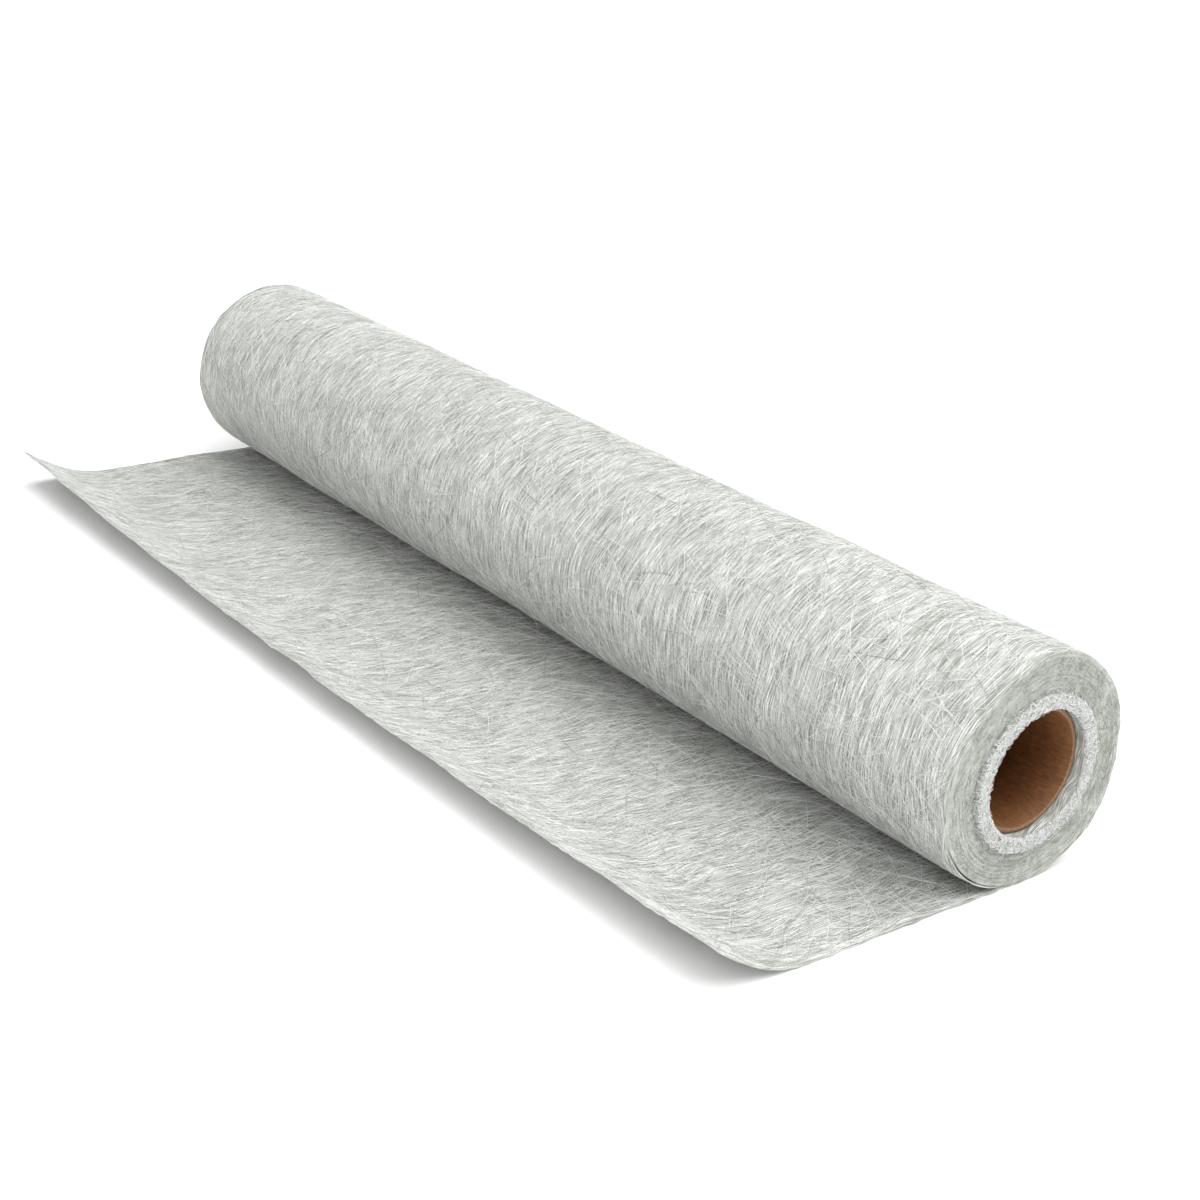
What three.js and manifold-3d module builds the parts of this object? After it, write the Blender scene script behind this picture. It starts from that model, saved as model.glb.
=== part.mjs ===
// A roll of chopped-strand fiberglass mat on a paper tube, lying on its side, with the end of the mat
// drawn out flat beside it and its free edge curling up. Millimetres, +Z up, +X along the roll's axis.
import * as THREE from "three";
import { mergeVertices } from "three/addons/utils/BufferGeometryUtils.js";
import Module from "manifold-3d";

// The mat
const MAT_WIDTH = 914;
const MAT_THICKNESS = 0.9;
const ROLL_DIAMETER = 150;

// The paper tube, which has the common 3 in bore
const CORE_BORE = 76.2;
const CORE_WALL = 3;
const CORE_CLEARANCE = 0.3;
const CORE_RECESS = 4.5; // how far each end of the tube lies inside the mat's edge

// The loose end, measured along the mat from the line where the roll stands on it
const LOOSE_LENGTH = 245;
const CURL_LENGTH = 75;
const CURL_DEGREES_FAR = 32; // slope at the free edge's -X end, its middle and its +X end
const CURL_DEGREES_MIDDLE = 22;
const CURL_DEGREES_NEAR = 36;

// Bands of turns that slid towards +X along the tube and show as steps on both ends, innermost first
const RING_DEPTH = 9.5; // radial depth of the bands round the tube, which slid furthest
const RING_SLIDES = [1, 3, 2.4];
const OUTER_SLIDES = [0, 0.5, 0, 0.5, 0, 0.5];

// Overlaps that join the mat as one solid: of the outermost turn with the turns inside it, and of the
// loose end with the outermost turn
const JOIN_DEPTH = 1.8;
const ROOT_LENGTH = 3;

// Facets
const ROUND_SEGMENTS = 72;
const WIDTH_STEPS = 12;
const LENGTH_STEPS = 28;
const ARC_SAMPLES = 64;

// Worked out from the sizes above
const halfWidth = MAT_WIDTH / 2;
const rollRadius = ROLL_DIAMETER / 2;
const coreRadius = CORE_BORE / 2 + CORE_WALL;
const boreRadius = coreRadius + CORE_CLEARANCE;
const ringRadius = boreRadius + RING_DEPTH;
const woundRadius = rollRadius - 2 * MAT_THICKNESS; // the turns inside the outermost one
const curlStart = LOOSE_LENGTH - CURL_LENGTH;

const wasm = await Module();
wasm.setup();

// A three.js geometry as a solid that can be joined or cut
function toSolid(geometry) {
  geometry.deleteAttribute("normal");
  geometry.deleteAttribute("uv");
  const merged = mergeVertices(geometry);
  return new wasm.Manifold(
    new wasm.Mesh({
      numProp: 3,
      vertProperties: new Float32Array(merged.attributes.position.array),
      triVerts: new Uint32Array(merged.index.array),
    }),
  );
}

// The solid as a three.js geometry again
function toGeometry(solid) {
  const mesh = solid.getMesh();
  const geometry = new THREE.BufferGeometry();
  geometry.setAttribute("position", new THREE.BufferAttribute(mesh.vertProperties, 3));
  geometry.setIndex(new THREE.BufferAttribute(mesh.triVerts, 1));
  geometry.computeVertexNormals();
  return geometry;
}

// A point of the roll's section in (y, z), by its angle from the bottom towards +Y
function sectionPoint(radius, angle) {
  return new THREE.Vector2(radius * Math.sin(angle), rollRadius - radius * Math.cos(angle));
}

// Slope of the free edge at x: a parabola through its far, middle and near values
function curlAngle(x) {
  const u = x / halfWidth;
  const lift = (CURL_DEGREES_NEAR + CURL_DEGREES_FAR) / 2 - CURL_DEGREES_MIDDLE;
  const skew = (CURL_DEGREES_NEAR - CURL_DEGREES_FAR) / 2;
  return THREE.MathUtils.degToRad(CURL_DEGREES_MIDDLE + lift * u * u + skew * u);
}

// The roll's section at one radius, as points all the way round
function circle(radius) {
  const points = [];
  for (let i = 0; i < ROUND_SEGMENTS; i++) {
    points.push(sectionPoint(radius, (i / ROUND_SEGMENTS) * 2 * Math.PI));
  }
  return points;
}

// A solid turned about the roll's axis from a closed profile of [radius, x] points. Its facets lie
// half a facet round from those of circle(), so the two cross cleanly where they are joined.
function turned(profile) {
  const points = [...profile, profile[0]].map(([radius, x]) => new THREE.Vector2(radius, x));
  const geometry = new THREE.LatheGeometry(points, ROUND_SEGMENTS, Math.PI / ROUND_SEGMENTS);
  return geometry.rotateZ(-Math.PI / 2).translate(0, 0, rollRadius);
}

// Where the loose end's underside lies at a length along the mat and a place x across it
function underside(length, x) {
  const arc = Math.max(length - curlStart, 0);
  const slopeAt = (s) => curlAngle(x) * Math.sin((Math.PI / 2) * (s / CURL_LENGTH));
  const step = arc / ARC_SAMPLES;
  let y = arc - length;
  let z = 0;
  for (let i = 0; i < ARC_SAMPLES; i++) {
    const slope = slopeAt((i + 0.5) * step);
    y -= Math.cos(slope) * step;
    z += Math.sin(slope) * step;
  }
  return { y, z, slope: slopeAt(arc) };
}

// The loose end, from the line where the roll stands on it to its free edge, which is bent up
function looseEnd() {
  const geometry = new THREE.BoxGeometry(
    MAT_WIDTH,
    LOOSE_LENGTH + ROOT_LENGTH,
    MAT_THICKNESS,
    WIDTH_STEPS,
    LENGTH_STEPS,
    1,
  );
  geometry.translate(0, (ROOT_LENGTH - LOOSE_LENGTH) / 2, MAT_THICKNESS / 2);
  const position = geometry.getAttribute("position");
  for (let i = 0; i < position.count; i++) {
    const height = position.getZ(i);
    const { y, z, slope } = underside(-position.getY(i), position.getX(i));
    position.setY(i, y + height * Math.sin(slope));
    position.setZ(i, z + height * Math.cos(slope));
  }
  return geometry;
}

// The outermost turn, which closes in by one thickness on its way round
function outerTurn() {
  const turn = [];
  for (let i = 0; i < ROUND_SEGMENTS; i++) {
    const share = (i + 0.5) / ROUND_SEGMENTS;
    turn.push(sectionPoint(rollRadius - MAT_THICKNESS * share, share * 2 * Math.PI));
  }
  const section = new THREE.Shape(turn);
  section.holes.push(new THREE.Path(circle(woundRadius - JOIN_DEPTH)));
  const geometry = new THREE.ExtrudeGeometry(section, { depth: MAT_WIDTH, bevelEnabled: false });
  geometry.translate(0, 0, -halfWidth);
  return geometry.applyMatrix4(
    new THREE.Matrix4().makeBasis(
      new THREE.Vector3(0, 1, 0),
      new THREE.Vector3(0, 0, 1),
      new THREE.Vector3(1, 0, 0),
    ),
  );
}

// The turns between two radii, in one band for each slide
function bands(inner, outer, slides) {
  const radiusAt = (i) => THREE.MathUtils.lerp(inner, outer, i / slides.length);
  return slides.map((slide, i) => ({ slide, radii: [radiusAt(i), radiusAt(i + 1)] }));
}

// Every turn inside the outermost one, stepped on both ends
function woundTurns() {
  const all = [
    ...bands(boreRadius, ringRadius, RING_SLIDES),
    ...bands(ringRadius, woundRadius, OUTER_SLIDES),
  ];
  const endAt = (x) => all.flatMap(({ slide, radii }) => radii.map((radius) => [radius, x + slide]));
  return turned([...endAt(-halfWidth), ...endAt(halfWidth).reverse()]);
}

function fiberglassMat() {
  const wound = toSolid(outerTurn()).add(toSolid(woundTurns()));
  const solid = wound.add(toSolid(looseEnd()));
  const material = new THREE.MeshStandardMaterial({
    color: 0xd5dad3,
    roughness: 0.55,
    metalness: 0,
    flatShading: true,
  });
  const mesh = new THREE.Mesh(toGeometry(solid), material);
  mesh.name = "fiberglass_mat";
  return mesh;
}

function coreTube() {
  const end = halfWidth - CORE_RECESS;
  const geometry = turned([
    [CORE_BORE / 2, -end],
    [coreRadius, -end],
    [coreRadius, end],
    [CORE_BORE / 2, end],
  ]);
  const material = new THREE.MeshStandardMaterial({
    color: 0x7a4a26,
    roughness: 0.8,
    metalness: 0,
    flatShading: true,
  });
  const mesh = new THREE.Mesh(geometry, material);
  mesh.name = "core_tube";
  return mesh;
}

const roll = new THREE.Group();
roll.add(fiberglassMat(), coreTube());

// The origin is on the floor, under the middle of the whole object
const middle = new THREE.Box3().setFromObject(roll).getCenter(new THREE.Vector3());
roll.position.set(-middle.x, -middle.y, 0);

export default roll;
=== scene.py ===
import math

import bpy
import numpy as np
from mathutils import Matrix, Vector


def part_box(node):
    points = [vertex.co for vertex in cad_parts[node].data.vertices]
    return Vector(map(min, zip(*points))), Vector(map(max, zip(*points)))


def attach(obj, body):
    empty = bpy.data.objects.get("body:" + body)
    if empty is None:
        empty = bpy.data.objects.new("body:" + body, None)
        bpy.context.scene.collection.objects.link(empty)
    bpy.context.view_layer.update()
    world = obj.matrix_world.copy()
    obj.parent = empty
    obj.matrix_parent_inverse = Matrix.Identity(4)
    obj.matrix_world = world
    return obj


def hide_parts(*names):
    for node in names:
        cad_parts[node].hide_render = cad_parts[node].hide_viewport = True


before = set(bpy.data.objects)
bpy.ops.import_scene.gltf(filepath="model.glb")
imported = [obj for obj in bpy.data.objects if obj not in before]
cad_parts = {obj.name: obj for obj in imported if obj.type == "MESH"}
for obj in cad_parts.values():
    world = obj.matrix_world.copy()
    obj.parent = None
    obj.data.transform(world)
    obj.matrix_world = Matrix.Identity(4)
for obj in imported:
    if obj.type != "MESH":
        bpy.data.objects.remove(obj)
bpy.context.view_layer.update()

# The roll lies along X with its loose end towards -Y. Metres and radians, unless a name says degrees.
core_low, core_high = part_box("core_tube")
AXIS_Y = (core_low.y + core_high.y) / 2
AXIS_Z = (core_low.z + core_high.z) / 2

# The mat: its A side faces the floor and becomes the outside of the roll, its B side is on top of the
# loose end
MAT_WIDTH = 0.914
MAT_THICKNESS = 0.00084
PITCH = 0.0009  # from one turn to the next
ROLL_RADIUS = AXIS_Z
LOOSE_LENGTH = 0.245
FAR_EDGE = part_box("fiberglass_mat")[0].x
NEAR_EDGE = FAR_EDGE + MAT_WIDTH
MIDDLE = (FAR_EDGE + NEAR_EDGE) / 2

# The paper tube
CORE_BORE_RADIUS = 0.0381
CORE_RADIUS = 0.0411
CORE_RIM = 0.0006  # how far its crushed rims are rounded back
INNERMOST_RADIUS = CORE_RADIUS + 0.0003

# The free edge curls up over this much of the mat, to these slopes across its width
CURL_LENGTH = 0.078
CURL_FAR = math.radians(33)
CURL_MIDDLE = math.radians(23)
CURL_NEAR = math.radians(36)

# The turns round the tube slid towards +X. The slide grows and fades over these depths of turns.
RING_SLIDE = 0.0030
RING_RISE = (-0.004, 0.0035)
RING_FALL = (0.0088, 0.0102)

# Where the near end is out of round: height, angle from the bottom and spread, both in degrees
OUT_OF_ROUND = (
    (0.0035, 55, 24),  # swollen low at the back
    (0.0022, 172, 22),  # crowned at the top
    (-0.0024, 222, 26),  # dented above the loose end
)
OUTER_SLACK = (0.0010, 318, 20)  # where the outermost turn hangs off it

# Heights of the mat's waves, and of the unsteadiness of its edges
WAVE_ON_FLOOR = 0.0006
WAVE_ON_ROLL = 0.0004
TRIM_RIPPLE = 0.0003
SIDE_FRAY = 0.0004
WINDING_UNSTEADINESS = 0.00009

# Grid of the part of the mat that shows: rows along its length, columns across its width
LOOSE_ROWS = 50
TURN_ROWS = 96
ROWS_UNDER = 6  # rows past one full turn, where the next turn hides them
COLUMNS = 180
SIDE_STRIP = 0.004  # width of the outer columns of the hidden turns

# Chopped strands
SPILL = 0.0018  # the furthest that one sticks out past the mat's sides
SHORTEST_STRAND = 0.006
STRAND_POINTS = 6
END_STRAND_POINTS = 4
STRAND_WIDTHS = (0.00019, 0.00041)
END_STRAND_WIDTHS = (0.0002, 0.00042)
LONG_STRAND = 0.052
SHORT_STRAND = 0.03
ALONG_SHARE = 0.5  # share of the strands that run roughly along the mat
ALONG_SPREAD = 0.7
ALONG_DRIFT = 0.12
BEND = 5.0  # radians per metre
BEND_ON_END = 22
LOWEST_LAYER = 0.00004  # height over the mat
LAYERS = 0.00034  # how much higher the top layer lies
SWAY = 0.00008
LEAST_HEIGHT = 0.00002
LEAST_HEIGHT_ON_END = 0.0001
OVER_BORE = 0.0008  # how far one on an end reaches in over the tube
WITHIN_ROLL = 0.0006  # how far it stays inside the roll's outside

# Lengths along the mat, from its free edge, where strands have room. Rising ones need more of it, so
# they keep away from the line where the roll stands on its loose end.
ON_ROLL = (LOOSE_LENGTH + 0.009, LOOSE_LENGTH + 2 * math.pi * ROLL_RADIUS - 0.003)
ON_LOOSE_END = (0, LOOSE_LENGTH)
UNDER_CURL = (0, 0.066)
RISING_ON_ROLL = (ON_ROLL[0] + 0.028, ON_ROLL[1] - 0.034)
RISING_ON_LOOSE_END = (0, LOOSE_LENGTH - 0.03)

# Places across the mat
FAR_HALF = (FAR_EDGE, MIDDLE)
NEAR_HALF = (MIDDLE, NEAR_EDGE)
WHOLE_WIDTH = (FAR_EDGE, NEAR_EDGE)

# Radii on the ends of the roll: the turns that slid, and the others
RING = (INNERMOST_RADIUS, INNERMOST_RADIUS + 0.0105)
FACE = (INNERMOST_RADIUS + 0.0095, ROLL_RADIUS - 0.002)

NO_TRIANGLES = np.zeros((0, 3), int)


def smoothstep(low, high, value):
    t = np.clip((value - low) / (high - low), 0, 1)
    return t * t * (3 - 2 * t)


def hump(angle, degrees, spread):
    """A bell of unit height round an angle."""
    return np.exp(-(((angle - math.radians(degrees)) / math.radians(spread)) ** 2))


def ripple(u, v, seed, shortest, longest, waves=14):
    """Smooth noise of about unit height: plane waves of random heading, length and phase."""
    rng = np.random.default_rng(seed)
    total = np.zeros(np.broadcast(u, v).shape)
    for _ in range(waves):
        heading, phase = rng.uniform(0, 2 * math.pi, 2)
        k = 2 * math.pi / rng.uniform(shortest, longest)
        total += np.sin(k * (u * math.cos(heading) + v * math.sin(heading)) + phase)
    return total / math.sqrt(waves / 2)


def unit(vectors):
    return vectors / np.maximum(np.linalg.norm(vectors, axis=-1, keepdims=True), 1e-12)


# Shape of the mat

def out_of_round(angle, x):
    """How far the roll's outside stands off its circle: it sags most at the near end."""
    near = (x - FAR_EDGE) / MAT_WIDTH
    return near * sum(height * hump(angle, *place) for height, *place in OUT_OF_ROUND)


def turn_radius(wound, x):
    """Radius of the A side after an angle wound on, counted inwards from the contact line."""
    plain = ROLL_RADIUS - PITCH * wound / (2 * math.pi)
    share = (plain - INNERMOST_RADIUS) / (ROLL_RADIUS - INNERMOST_RADIUS)
    return plain + share * out_of_round(wound % (2 * math.pi), x)


def ring_slide(radius):
    """How far the turns at a radius slid towards +X."""
    depth = radius - INNERMOST_RADIUS
    return RING_SLIDE * smoothstep(*RING_RISE, depth) * (1 - smoothstep(*RING_FALL, depth))


def slid(wound):
    """The slide of each turn, with the unsteadiness of the winding."""
    quick = ripple(wound, 0, 11, 2.0, 9.0)
    slow = ripple(wound, 0, 12, 9, 60)
    unsteady = WINDING_UNSTEADINESS * quick + WINDING_UNSTEADINESS * slow
    radius = ROLL_RADIUS - PITCH * wound / (2 * math.pi)
    return ring_slide(radius) + unsteady * smoothstep(0, 2 * math.pi, wound)


def curl_slope(x):
    """Slope of the free edge at x: a parabola through its far, middle and near values."""
    u = 2 * (x - FAR_EDGE) / MAT_WIDTH - 1
    lift = (CURL_NEAR + CURL_FAR) / 2 - CURL_MIDDLE
    skew = (CURL_NEAR - CURL_FAR) / 2
    return CURL_MIDDLE + lift * u * u + skew * u


def loose_end(lengths, x):
    """Rows of A side points from the free edge to the contact line."""
    s, x = np.meshgrid(lengths, x, indexing="ij")
    rise = np.clip(1 - s / CURL_LENGTH, 0, 1)
    slope = curl_slope(x) * np.sin(math.pi / 2 * rise)
    step = np.diff(lengths)[:, None]
    middle = (slope[1:] + slope[:-1]) / 2
    run = np.vstack([np.cos(middle) * step, np.zeros((1, x.shape[1]))])
    climb = np.vstack([np.sin(middle) * step, np.zeros((1, x.shape[1]))])
    y = AXIS_Y - np.cumsum(run[::-1], axis=0)[::-1]
    z = np.cumsum(climb[::-1], axis=0)[::-1]
    lying = smoothstep(0, 0.05, LOOSE_LENGTH - s)
    z = z + WAVE_ON_FLOOR * lying * np.clip(0.25 + ripple(s, x, 21, 0.05, 0.22), 0, None)
    trim = TRIM_RIPPLE * ripple(x, 0, 22, 0.004, 0.05) * (1 - smoothstep(0, 0.012, s))
    return np.stack([x, y + trim, z], axis=-1)


def outer_turn(wound, x):
    """Rows of A side points of the outermost turn. It is a little loose on the roll, so it waves."""
    wound, x = np.meshgrid(wound, x, indexing="ij")
    held = smoothstep(0, 0.5, wound) * (1 - smoothstep(2 * math.pi - 0.35, 2 * math.pi, wound))
    wave = WAVE_ON_ROLL * np.clip(0.5 + ripple(wound * ROLL_RADIUS, x, 31, 0.06, 0.3), 0, None)
    near = smoothstep(0.55, 1, (x - FAR_EDGE) / MAT_WIDTH)
    height, *place = OUTER_SLACK
    slack = height * near * hump(wound, *place)
    radius = turn_radius(wound, x) + held * (wave + slack)
    return np.stack(
        [x, AXIS_Y + radius * np.sin(wound), AXIS_Z - radius * np.cos(wound)],
        axis=-1,
    )


def visible_grid():
    """(lengths, A side points, A side normals) of the loose end and the outermost turn."""
    x = np.linspace(FAR_EDGE, NEAR_EDGE, COLUMNS + 1)
    loose = np.linspace(0, LOOSE_LENGTH, LOOSE_ROWS + 1)
    wound = 2 * math.pi * np.arange(1, TURN_ROWS + ROWS_UNDER + 1) / TURN_ROWS
    points = np.concatenate([loose_end(loose, x), outer_turn(wound, x)])
    along_sides = np.arange(len(points))[:, None] * 0.005
    fray = SIDE_FRAY * ripple(along_sides, 0 * x, 41, 0.01, 0.06)
    side = np.abs(2 * (x - FAR_EDGE) / MAT_WIDTH - 1)
    points[..., 0] += fray * smoothstep(0.97, 1, side) * np.sign(x - MIDDLE)
    along = np.gradient(points, axis=0)
    across = np.gradient(points, axis=1)
    lengths = np.concatenate([loose, LOOSE_LENGTH + wound * ROLL_RADIUS])
    return lengths, points, unit(np.cross(along, across))


def hidden_turns():
    """(lengths, A side points, A side normals) of the turns inside the outermost one: 4 columns."""
    first = TURN_ROWS + ROWS_UNDER + 1
    turns = (ROLL_RADIUS - INNERMOST_RADIUS - MAT_THICKNESS) / PITCH
    steps = np.arange(first, int(turns * TURN_ROWS))
    wound = 2 * math.pi * steps / TURN_ROWS
    x = np.array([FAR_EDGE, FAR_EDGE + SIDE_STRIP, NEAR_EDGE - SIDE_STRIP, NEAR_EDGE])
    wound_grid, x_grid = np.meshgrid(wound, x, indexing="ij")
    radius = turn_radius(wound_grid, x_grid)
    points = np.stack(
        [
            x_grid + slid(wound)[:, None],
            AXIS_Y + radius * np.sin(wound_grid),
            AXIS_Z - radius * np.cos(wound_grid),
        ],
        axis=-1,
    )
    normals = np.stack([0 * x_grid, np.sin(wound_grid), -np.cos(wound_grid)], axis=-1)
    return LOOSE_LENGTH + wound * ROLL_RADIUS, points, normals


# Building meshes

def mesh_object(name, points, quads, triangles, materials, slots=None, uv=None, flat=None):
    """A mesh from arrays: quads, then triangles. uv has one row for each point."""
    mesh = bpy.data.meshes.new(name)
    corners = np.concatenate([quads.ravel(), triangles.ravel()]).astype(np.int32)
    totals = np.concatenate([np.full(len(quads), 4), np.full(len(triangles), 3)]).astype(np.int32)
    starts = np.concatenate([[0], np.cumsum(totals)[:-1]]).astype(np.int32)
    mesh.vertices.add(len(points))
    mesh.vertices.foreach_set("co", np.asarray(points, np.float32).ravel())
    mesh.loops.add(len(corners))
    mesh.loops.foreach_set("vertex_index", corners)
    mesh.polygons.add(len(totals))
    mesh.polygons.foreach_set("loop_start", starts)
    mesh.polygons.foreach_set("loop_total", totals)
    smooth = np.ones(len(totals), bool) if flat is None else ~flat
    mesh.polygons.foreach_set("use_smooth", smooth)
    for material in materials:
        mesh.materials.append(material)
    if slots is not None:
        mesh.polygons.foreach_set("material_index", slots.astype(np.int32))
    if uv is not None:
        layer = mesh.uv_layers.new(name="length_and_width")
        layer.data.foreach_set("uv", np.asarray(uv, np.float32)[corners].ravel())
    mesh.update(calc_edges=True)
    mesh.validate()
    obj = bpy.data.objects.new(name, mesh)
    bpy.context.collection.objects.link(obj)
    return obj


def grid_quads(rows, columns, start):
    """Quads of a grid whose points are numbered row by row from start."""
    r, c = np.meshgrid(np.arange(rows - 1), np.arange(columns - 1), indexing="ij")
    a = start + r * columns + c
    return np.stack([a, a + columns, a + columns + 1, a + 1], axis=-1).reshape(-1, 4)


def bridge(first, second, x_first, x_second):
    """Triangles between two rows with different numbers of points."""
    triangles = []
    i = j = 0
    while i < len(first) - 1 or j < len(second) - 1:
        next_first = x_first[i + 1] if i < len(first) - 1 else math.inf
        next_second = x_second[j + 1] if j < len(second) - 1 else math.inf
        if next_first <= next_second:
            triangles.append([first[i], second[j], first[i + 1]])
            i += 1
        else:
            triangles.append([first[i], second[j], second[j + 1]])
            j += 1
    return np.array(triangles)


def wall(edge_a, edge_b):
    """Quads between matching points of the two sides along one edge of the mat."""
    return np.stack([edge_a[:-1], edge_b[:-1], edge_b[1:], edge_a[1:]], axis=-1)


def build_mat(materials):
    """The whole length of mat as one closed sheet, from its free edge to its end on the tube, and
    the grid that strands lie on."""
    lengths, shown, shown_normals = visible_grid()
    inner_lengths, inner, inner_normals = hidden_turns()
    rows, columns = shown.shape[:2]
    inner_rows, inner_columns = inner.shape[:2]
    a_points = np.concatenate([shown.reshape(-1, 3), inner.reshape(-1, 3)])
    a_normals = np.concatenate([shown_normals.reshape(-1, 3), inner_normals.reshape(-1, 3)])
    b_points = a_points - a_normals * MAT_THICKNESS
    side = len(a_points)
    number = np.arange(side)
    shown_number = number[: rows * columns].reshape(rows, columns)
    inner_number = number[rows * columns:].reshape(inner_rows, inner_columns)
    faces_a = np.concatenate([
        grid_quads(rows, columns, 0),
        grid_quads(inner_rows, inner_columns, rows * columns),
    ])
    seam = bridge(shown_number[-1], inner_number[0], shown[-1, :, 0], inner[0, :, 0])
    far_edge = np.concatenate([shown_number[:, 0], inner_number[:, 0]])
    near_edge = np.concatenate([shown_number[:, -1], inner_number[:, -1]])
    walls = np.concatenate([
        wall(far_edge, far_edge + side),
        wall(near_edge + side, near_edge),
        wall(shown_number[0] + side, shown_number[0]),
        wall(inner_number[-1], inner_number[-1] + side),
    ])
    quads = np.concatenate([faces_a, faces_a[:, ::-1] + side, walls])
    triangles = np.concatenate([seam, seam[:, ::-1] + side])
    is_wall = np.zeros(len(quads) + len(triangles), bool)
    is_wall[2 * len(faces_a): len(quads)] = True
    uv = np.concatenate([
        np.stack([np.repeat(lengths, columns), shown[..., 0].ravel()], axis=-1),
        np.stack([np.repeat(inner_lengths, inner_columns), inner[..., 0].ravel()], axis=-1),
    ])
    mat = mesh_object(
        "mat_sheet",
        np.concatenate([a_points, b_points]),
        quads,
        triangles,
        materials,
        slots=is_wall.astype(int),
        uv=np.concatenate([uv, uv]),
        flat=is_wall,
    )
    return mat, (lengths, shown, shown_normals)


# Glass strands: each is one closed, tapering, three-sided fibre

def fibre_object(name, points, normals, widths, material):
    """One fibre along each row of points, its ridge on the side that the normals point to."""
    count, steps = points.shape[:2]
    tangents = unit(np.gradient(points, axis=1))
    sides = unit(np.cross(tangents, normals))
    ups = np.cross(sides, tangents)
    half = widths[:, None, None] / 2
    corners = [points - sides * half, points + sides * half, points + ups * half]
    rings = np.stack(corners, axis=2)[:, 1:-1].reshape(count, -1, 3)
    block = np.concatenate([points[:, :1], rings, points[:, -1:]], axis=1)
    size = block.shape[1]
    last = 3 * (steps - 3)
    quads, triangles = [], []
    for edge in ((0, 1), (1, 2), (2, 0)):
        a, b = edge[0] + 1, edge[1] + 1
        triangles.append([0, a, b])
        for here in range(0, last, 3):
            quads.append([here + a, here + 3 + a, here + 3 + b, here + b])
        triangles.append([last + a, size - 1, last + b])
    offsets = (np.arange(count) * size)[:, None, None]
    return mesh_object(
        name,
        block.reshape(-1, 3),
        (np.array(quads) + offsets).reshape(-1, 4),
        (np.array(triangles) + offsets).reshape(-1, 3),
        [material],
    )


def chopped(rng, count, s_range, x_range, length):
    """Curved strand paths on the flat mat as (s, x), cut off where they leave the range."""
    s = rng.uniform(s_range[0], s_range[1], count)
    x = rng.uniform(x_range[0], x_range[1], count)
    drift = ALONG_DRIFT * ripple(s, x, 51, 0.10, 0.35, waves=8)
    along = drift + rng.normal(0, ALONG_SPREAD, count)
    heading = np.where(rng.random(count) < ALONG_SHARE, along, rng.uniform(0, math.pi, count))
    size = length * rng.uniform(0.55, 1.1, count)
    bend = rng.normal(0, BEND, count)
    fine = np.linspace(-0.5, 0.5, 41)

    def path(t):
        turn = heading[:, None] + bend[:, None] * size[:, None] * t
        chord = np.sinc(bend[:, None] * size[:, None] * t / (2 * math.pi))
        middle = (turn + heading[:, None]) / 2
        reach = size[:, None] * t * chord
        return s[:, None] + reach * np.cos(middle), x[:, None] + reach * np.sin(middle)

    # The part of each strand between its first and last fine step on the mat
    fs, fx = path(np.broadcast_to(fine, (count, len(fine))))
    spill = SPILL * rng.random((count, 1)) ** 2
    on_length = (fs > s_range[0]) & (fs < s_range[1])
    inside = on_length & (fx > x_range[0] - spill) & (fx < x_range[1] + spill)
    start = fine[np.argmax(inside, axis=1)]
    stop = fine[len(fine) - 1 - np.argmax(inside[:, ::-1], axis=1)]
    keep = (stop - start) * size > SHORTEST_STRAND
    t = start[:, None] + (stop - start)[:, None] * np.linspace(0, 1, STRAND_POINTS)
    ps, px = path(t)
    return ps[keep], px[keep]


def on_mat(grid, s, x):
    """Points and normals of the A side at lengths s and places x, or level with it past its sides."""
    lengths, points, normals = grid
    rows, columns = points.shape[:2]
    row = np.interp(s, lengths, np.arange(rows))
    column = np.clip((x - FAR_EDGE) / MAT_WIDTH, 0, 1) * (columns - 1)
    r = np.clip(row.astype(int), 0, rows - 2)
    c = np.clip(column.astype(int), 0, columns - 2)
    u, v = (row - r)[..., None], (column - c)[..., None]

    def blend(array):
        low = array[r, c] * (1 - v) + array[r, c + 1] * v
        high = array[r + 1, c] * (1 - v) + array[r + 1, c + 1] * v
        return low * (1 - u) + high * u

    place = blend(points)
    place[..., 0] += x - np.clip(x, FAR_EDGE, NEAR_EDGE)
    return place, unit(blend(normals))


def strands_on(grid, name, seed, count, s_range, x_range, side, length, lift, material):
    """Chopped strands lying on side A or B of the mat, in several layers. With a lift, one end of
    each rises off it."""
    rng = np.random.default_rng(seed)
    s, x = chopped(rng, count, s_range, x_range, length)
    n = len(s)
    t = np.linspace(0, 1, STRAND_POINTS)
    widths = rng.uniform(*STRAND_WIDTHS, n)
    layer = LOWEST_LAYER + LAYERS * rng.random(n) ** 1.5
    sway = SWAY * np.sin(t * math.pi * 2 + rng.uniform(0, 6.3, (n, 1)))
    rise = lift * rng.random((n, 1)) ** 2 * t**2
    height = (np.maximum(layer[:, None] + sway, LEAST_HEIGHT) + rise)[..., None]
    points, normals = on_mat(grid, s, x)
    if side == "B":
        points, normals = points - normals * MAT_THICKNESS, -normals
    tangents = unit(np.gradient(points, axis=1))
    lean = rng.normal(0, 0.25, (n, 1, 1))
    leaned = unit(normals + lean * np.cross(tangents, normals))
    return fibre_object(name, points + normals * height, leaned, widths, material)


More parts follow.
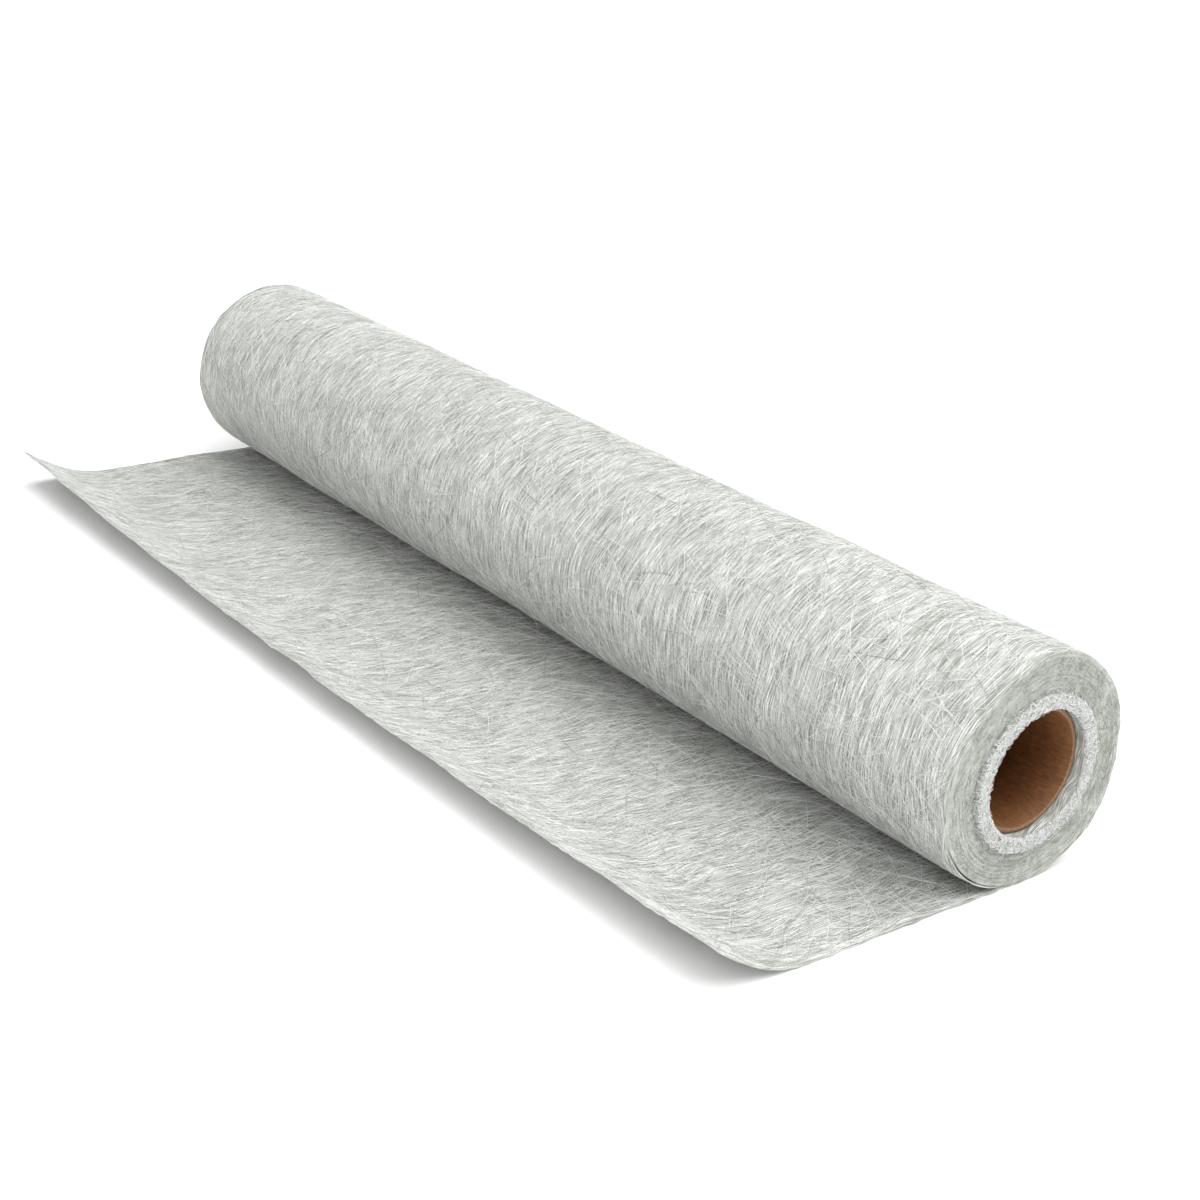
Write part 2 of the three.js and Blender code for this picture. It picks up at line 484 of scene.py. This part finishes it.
def strands_on_end(name, seed, count, near, radii, inward, across, length, lift, material):
    """Short strands on an end of the roll. They run round it, or across its turns by about the
    angle across, and stand off it by up to the lift. Over 1, inward crowds them towards the bore."""
    rng = np.random.default_rng(seed)
    way, edge = (1, NEAR_EDGE) if near else (-1, FAR_EDGE)
    t = np.linspace(0, 1, END_STRAND_POINTS)
    radius = radii[0] + (radii[1] - radii[0]) * rng.random((count, 1)) ** inward
    angle = rng.uniform(0, 2 * math.pi, (count, 1))
    heading = rng.normal(0, across, (count, 1)) + math.pi * (rng.random((count, 1)) < 0.5)
    reach = length * rng.uniform(0.4, 1.2, (count, 1)) * (t - 0.5)
    bent = heading + rng.normal(0, BEND_ON_END, (count, 1)) * reach
    along, outward = reach * np.cos(bent), reach * np.sin(bent)
    here = angle + along / radius
    r = np.clip(radius + outward, radii[0] - OVER_BORE, ROLL_RADIUS - WITHIN_ROLL)
    r = r + r / ROLL_RADIUS * 0.5 * out_of_round(here % (2 * math.pi), edge)
    arch = 1 + np.sin(math.pi * t + rng.uniform(0, 3, (count, 1)))
    height = LEAST_HEIGHT_ON_END + lift / 2 * rng.random((count, 1)) ** 2 * arch
    proud = way * np.maximum(way * ring_slide(r), way * ring_slide(r + MAT_THICKNESS))
    x = edge + proud + way * height
    points = np.stack([x, AXIS_Y + r * np.sin(here), AXIS_Z - r * np.cos(here)], axis=-1)
    normals = np.zeros_like(points)
    normals[..., 0] = way
    return fibre_object(name, points, normals, rng.uniform(*END_STRAND_WIDTHS, count), material)


# Materials

class Nodes:
    """The node tree of one new material, with short ways to add and join nodes."""

    # Sockets of the mix node when it mixes colours
    MIX_FACTOR, MIX_FIRST, MIX_SECOND, MIX_RESULT = 0, 6, 7, 2

    def __init__(self, name, roughness):
        self.material = bpy.data.materials.new(name)
        self.material.use_nodes = True
        self.tree = self.material.node_tree
        self.tree.nodes.clear()
        self.output = self.add("ShaderNodeOutputMaterial")
        self.shader = self.add("ShaderNodeBsdfPrincipled")
        self.shader.inputs["Roughness"].default_value = roughness
        self.join(self.shader, "BSDF", self.output, "Surface")

    def add(self, kind, **settings):
        node = self.tree.nodes.new(kind)
        for key, value in settings.items():
            setattr(node, key, value)
        return node

    def join(self, source, output, target, socket):
        self.tree.links.new(source.outputs[output], target.inputs[socket])

    def noise(self, vector, output, scale, detail=2.0, roughness=0.5, dimensions="3D"):
        node = self.add("ShaderNodeTexNoise", noise_dimensions=dimensions)
        node.inputs["Scale"].default_value = scale
        node.inputs["Detail"].default_value = detail
        node.inputs["Roughness"].default_value = roughness
        self.join(vector, output, node, "Vector")
        return node

    def placed(self, vector, output, turn=0.0, scale=(1, 1, 1), shift=(0, 0, 0)):
        node = self.add("ShaderNodeMapping")
        node.inputs["Rotation"].default_value = (0, 0, turn)
        node.inputs["Scale"].default_value = scale
        node.inputs["Location"].default_value = shift
        self.join(vector, output, node, "Vector")
        return node

    def ramp(self, source, output, stops):
        node = self.add("ShaderNodeValToRGB")
        elements = node.color_ramp.elements
        while len(elements) < len(stops):
            elements.new(0.5)
        for element, (position, colour) in zip(elements, stops):
            element.position = position
            element.color = (*colour, 1)
        self.join(source, output, node, "Fac")
        return node

    def math(self, operation, first, second):
        """One operation on the first outputs of two nodes."""
        node = self.add("ShaderNodeMath", operation=operation)
        self.join(first, 0, node, 0)
        self.join(second, 0, node, 1)
        return node

    def colour(self, first, second):
        """The shader's colour, as the product of two colours."""
        node = self.add("ShaderNodeMix", data_type="RGBA", blend_type="MULTIPLY")
        node.inputs[self.MIX_FACTOR].default_value = 1.0
        self.join(first, 0, node, self.MIX_FIRST)
        self.join(second, 0, node, self.MIX_SECOND)
        self.join(node, self.MIX_RESULT, self.shader, "Base Color")

    def bump(self, source, output, strength, distance):
        node = self.add("ShaderNodeBump")
        node.inputs["Strength"].default_value = strength
        node.inputs["Distance"].default_value = distance
        self.join(source, output, node, "Height")
        self.join(node, "Normal", self.shader, "Normal")


def glass_surface():
    """The mat under its top strands: layers of finer strands seen as light lines on grey-green, the
    glass's own tint, darkened between the lines as painted shade.
    """
    n = Nodes("glass_mat_surface", 0.55)
    uv = n.add("ShaderNodeUVMap", uv_map="length_and_width")
    wander = n.noise(uv, "UV", 14.0, 1.0, dimensions="2D")
    bent = n.add("ShaderNodeVectorMath", operation="MULTIPLY_ADD")
    n.join(wander, "Color", bent, 0)
    bent.inputs[1].default_value = (0.018, 0.018, 0)
    n.join(uv, "UV", bent, 2)
    # Each layer is noise drawn out along one heading, moved so that no two are alike
    lines = None
    for i, turn in enumerate((-0.25, 0.3, 0.9, -0.95, 1.5)):
        placed = n.placed(bent, "Vector", turn, (40, 1900, 1), (3.1 * i, 1.7 * i, 0))
        layer = n.noise(placed, "Vector", 1.0, 1.0, 0.5, dimensions="2D")
        lines = layer if lines is None else n.math("MAXIMUM", lines, layer)
    # The darkest stops are painted shade in the gaps between the fibre lines; the grey-green is the
    # glass's own colour, and the light stops are the fibres.
    tone = n.ramp(lines, 0, [
        (0.54, (0.165, 0.177, 0.145)),
        (0.64, (0.385, 0.40, 0.365)),
        (0.72, (0.70, 0.708, 0.69)),
        (0.80, (0.95, 0.95, 0.94)),
    ])
    patches = n.noise(uv, "UV", 22.0, 3.0, 0.55, dimensions="2D")
    weight = n.ramp(patches, "Fac", [(0.3, (0.88, 0.888, 0.87)), (0.7, (1.0, 1.0, 1.0))])
    n.colour(tone, weight)
    n.bump(lines, 0, 0.55, 0.0004)
    return n.material


def glass_strand(name, tones):
    """Chopped strand: white glass, brighter or duller from one to the next by the tones given; on the
    mat's sides the darkest few are painted shade lines.
    """
    n = Nodes(name, 0.26)
    geometry = n.add("ShaderNodeNewGeometry")
    tone = n.ramp(geometry, "Random Per Island", tones)
    place = n.add("ShaderNodeTexCoord")
    grain = n.noise(place, "Object", 900.0, 2.0)
    shade = n.ramp(grain, "Fac", [(0.3, (0.86, 0.87, 0.86)), (0.65, (1.0, 1.0, 1.0))])
    n.colour(tone, shade)
    n.bump(grain, "Fac", 0.3, 0.0001)
    return n.material


def glass_edge():
    """The mat's cut edge: packed fibre ends."""
    n = Nodes("glass_mat_edge", 0.75)
    place = n.add("ShaderNodeTexCoord")
    fine = n.noise(place, "Object", 1400.0, 3.0, 0.6)
    broad = n.noise(place, "Object", 90.0, 3.0, 0.6)
    tone = n.ramp(n.math("MULTIPLY", fine, broad), 0, [
        (0.13, (0.30, 0.325, 0.28)),
        (0.25, (0.44, 0.46, 0.415)),
        (0.40, (0.62, 0.635, 0.595)),
    ])
    n.join(tone, 0, n.shader, "Base Color")
    n.bump(fine, "Fac", 0.6, 0.0004)
    return n.material


def core_paper(name, dark, light):
    """Brown paperboard: soft fibre and a faint cloudiness."""
    n = Nodes(name, 0.62)
    place = n.add("ShaderNodeTexCoord")
    fibre = n.noise(n.placed(place, "Object", 0, (0.25, 1, 1)), "Vector", 700.0, 4.0, 0.6)
    cloud = n.noise(place, "Object", 28.0, 4.0, 0.55)
    tone = n.ramp(fibre, "Fac", [(0.32, dark), (0.68, light)])
    patch = n.ramp(cloud, "Fac", [(0.35, (0.82, 0.80, 0.78)), (0.7, (1.0, 1.0, 1.0))])
    n.colour(tone, patch)
    n.bump(fibre, "Fac", 0.35, 0.0003)
    return n.material


def floor_material():
    n = Nodes("studio_floor", 0.9)
    place = n.add("ShaderNodeTexCoord")
    soft = n.noise(place, "Object", 3.0, 2.0)
    tone = n.ramp(soft, "Fac", [(0.2, (0.90, 0.90, 0.90)), (0.8, (0.93, 0.93, 0.93))])
    n.join(tone, 0, n.shader, "Base Color")
    return n.material


# The paper tube

def build_core(materials):
    """A smooth tube with softly crushed rims, closed all round its section."""
    around, inner_steps = 160, 40
    profile = [
        (CORE_BORE_RADIUS, core_low.x + CORE_RIM),
        (CORE_BORE_RADIUS + CORE_RIM, core_low.x),
        (CORE_RADIUS - CORE_RIM, core_low.x),
        (CORE_RADIUS, core_low.x + CORE_RIM),
        (CORE_RADIUS, core_high.x - CORE_RIM),
        (CORE_RADIUS - CORE_RIM, core_high.x),
        (CORE_BORE_RADIUS + CORE_RIM, core_high.x),
        (CORE_BORE_RADIUS, core_high.x - CORE_RIM),
    ]
    rim_faces = (0, 1, 2, 4, 5, 6)  # by the profile point that each starts from
    bore = np.linspace(core_high.x - CORE_RIM, core_low.x + CORE_RIM, inner_steps)[1:-1]
    profile = np.array(profile + [(CORE_BORE_RADIUS, x) for x in bore])
    angle = 2 * math.pi * np.arange(around) / around
    radius, x = profile[:, 0][None, :], profile[:, 1][None, :]
    points = np.stack(
        [
            np.broadcast_to(x, (around, len(profile))),
            AXIS_Y + radius * np.sin(angle)[:, None],
            AXIS_Z - radius * np.cos(angle)[:, None],
        ],
        axis=-1,
    ).reshape(-1, 3)
    a, p = np.meshgrid(np.arange(around), np.arange(len(profile)), indexing="ij")
    a_next, p_next = (a + 1) % around, (p + 1) % len(profile)
    m = len(profile)
    quads = np.stack([a * m + p, a_next * m + p, a_next * m + p_next, a * m + p_next], axis=-1)
    return mesh_object(
        "paper_tube",
        points,
        quads.reshape(-1, 4),
        NO_TRIANGLES,
        materials,
        slots=np.isin(p, rim_faces).astype(int).ravel(),
    )


# Scene

# The camera, fitted to the photograph: its direction from the object, and its place from the
# roll's axis at the middle of its length
CAMERA_AZIMUTH = math.radians(51.31)
CAMERA_ELEVATION = math.radians(22.61)
CAMERA_ROLL = math.radians(4.07)
CAMERA_OFFSET = (1.136, -0.879)
CAMERA_HEIGHT = 0.6144
CAMERA_LENS_MM = 61.6

FLOOR_REACH = 32
FLOOR_LINES = 9
FLOOR_HEIGHT = -0.0002


def place_camera():
    data = bpy.data.cameras.new("camera")
    data.lens = CAMERA_LENS_MM
    data.sensor_width = 36
    data.clip_end = 50
    camera = bpy.data.objects.new("camera", data)
    bpy.context.collection.objects.link(camera)
    back = np.array([
        math.sin(CAMERA_AZIMUTH) * math.cos(CAMERA_ELEVATION),
        -math.cos(CAMERA_AZIMUTH) * math.cos(CAMERA_ELEVATION),
        math.sin(CAMERA_ELEVATION),
    ])
    right = unit(np.cross(-back, (0, 0, 1)))
    up = np.cross(right, -back)
    rolled_right = math.cos(CAMERA_ROLL) * right + math.sin(CAMERA_ROLL) * up
    rolled_up = -math.sin(CAMERA_ROLL) * right + math.cos(CAMERA_ROLL) * up
    place = (MIDDLE + CAMERA_OFFSET[0], AXIS_Y + CAMERA_OFFSET[1], CAMERA_HEIGHT)
    matrix = Matrix.Identity(4)
    for column, vector in enumerate((rolled_right, rolled_up, back, place)):
        for row in range(3):
            matrix[row][column] = float(vector[row])
    camera.matrix_world = matrix
    bpy.context.scene.camera = camera


def light_scene():
    """A broad soft light from above and behind, a fill at the near end and one in front, and an
    even room."""
    lights = (
        # name, kind, strength, the sun's angle or the panel's size, place, target
        ("overhead", "SUN", 3.8, math.radians(75), (0.5, 0.65, 1.9), (0, 0, 0)),
        ("near_fill", "AREA", 7, 0.9, (0.8, -0.85, 1.1), (0.4, -0.1, 0)),
        ("front_fill", "AREA", 26, 2.0, (0, -2.4, 0.2), (0, 0, 0.05)),
    )
    for name, kind, strength, spread, place, target in lights:
        data = bpy.data.lights.new(name, kind)
        data.energy = strength
        if kind == "SUN":
            data.angle = spread
        else:
            data.size = spread
        light = bpy.data.objects.new(name, data)
        bpy.context.collection.objects.link(light)
        light.location = place
        towards = Vector(target) - Vector(place)
        light.rotation_euler = towards.to_track_quat("-Z", "Y").to_euler()
    world = bpy.data.worlds.new("studio")
    world.use_nodes = True
    room = world.node_tree.nodes["Background"]
    room.inputs["Color"].default_value = (1, 1, 1, 1)
    room.inputs["Strength"].default_value = 0.42
    bpy.context.scene.world = world
    bpy.context.scene.view_settings.view_transform = "Standard"
    bpy.context.scene.view_settings.look = "None"


def lay_floor():
    steps = np.linspace(-FLOOR_REACH, FLOOR_REACH, FLOOR_LINES)
    y, x = np.meshgrid(steps, steps, indexing="ij")
    points = np.stack([x, y, 0 * x + FLOOR_HEIGHT], axis=-1).reshape(-1, 3)
    floor = mesh_object(
        "floor",
        points,
        grid_quads(FLOOR_LINES, FLOOR_LINES, 0)[:, ::-1],
        NO_TRIANGLES,
        [floor_material()],
    )


def all_strands(grid):
    """Every piece made of strands: on the mat's two sides, and on the roll's two ends."""
    # On the mat's sides the darkest few strands, below 0.07, are painted shade: thin dark lines for
    # the gaps and shadows between strands. The others differ in tone at random.
    strand = glass_strand("glass_strand", [
        (0.0, (0.30, 0.314, 0.29)),
        (0.07, (0.56, 0.572, 0.55)),
        (0.5, (0.80, 0.804, 0.79)),
        (1.0, (0.98, 0.98, 0.975)),
    ])
    ends = glass_strand("glass_ends", [(0.0, (0.36, 0.38, 0.34)), (1.0, (0.70, 0.71, 0.68))])
    fuzz = glass_strand("glass_fuzz", [(0.0, (0.82, 0.83, 0.82)), (1.0, (0.99, 0.99, 0.99))])
    on_sides = (
        # name, seed, count, lengths, places across, side, strand length, lift
        ("roll_strands_far", 101, 7600, ON_ROLL, FAR_HALF, "A", LONG_STRAND, 0),
        ("roll_strands_near", 102, 7600, ON_ROLL, NEAR_HALF, "A", LONG_STRAND, 0),
        ("loose_end_strands", 103, 7600, ON_LOOSE_END, WHOLE_WIDTH, "B", LONG_STRAND, 0),
        ("curl_strands", 104, 2200, UNDER_CURL, WHOLE_WIDTH, "A", LONG_STRAND, 0),
        ("loose_strands_roll", 105, 260, RISING_ON_ROLL, WHOLE_WIDTH, "A", SHORT_STRAND, 0.006),
        ("loose_strands_end", 106, 160, RISING_ON_LOOSE_END, WHOLE_WIDTH, "B", SHORT_STRAND, 0.005),
    )
    on_ends = (
        # name, seed, count, near end, radii, inward, across, strand length, lift, material
        ("face_strands_near", 107, 2600, True, FACE, 1.0, 0.7, 0.008, 0.0008, ends),
        ("ring_strands_near", 108, 3800, True, RING, 1.7, 1.3, 0.0055, 0.0022, fuzz),
        ("face_strands_far", 107, 2600, False, FACE, 1.0, 0.7, 0.008, 0.0008, ends),
        ("ring_strands_far", 108, 3800, False, RING, 1.7, 1.3, 0.0055, 0.0022, fuzz),
    )
    pieces = [strands_on(grid, *row, strand) for row in on_sides]
    return pieces + [strands_on_end(*row) for row in on_ends]


def dress(piece):
    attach(piece, "root")


def main():
    mat, grid = build_mat([glass_surface(), glass_edge()])
    pieces = all_strands(grid)
    for piece in [mat, *pieces]:
        dress(piece)
    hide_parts("fiberglass_mat")
    tube = build_core([
        core_paper("core_paperboard", (0.15, 0.055, 0.015), (0.27, 0.112, 0.034)),
        core_paper("core_cut_edge", (0.20, 0.105, 0.052), (0.36, 0.215, 0.125)),
    ])
    dress(tube)
    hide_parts("core_tube")


place_camera()
light_scene()
lay_floor()
main()
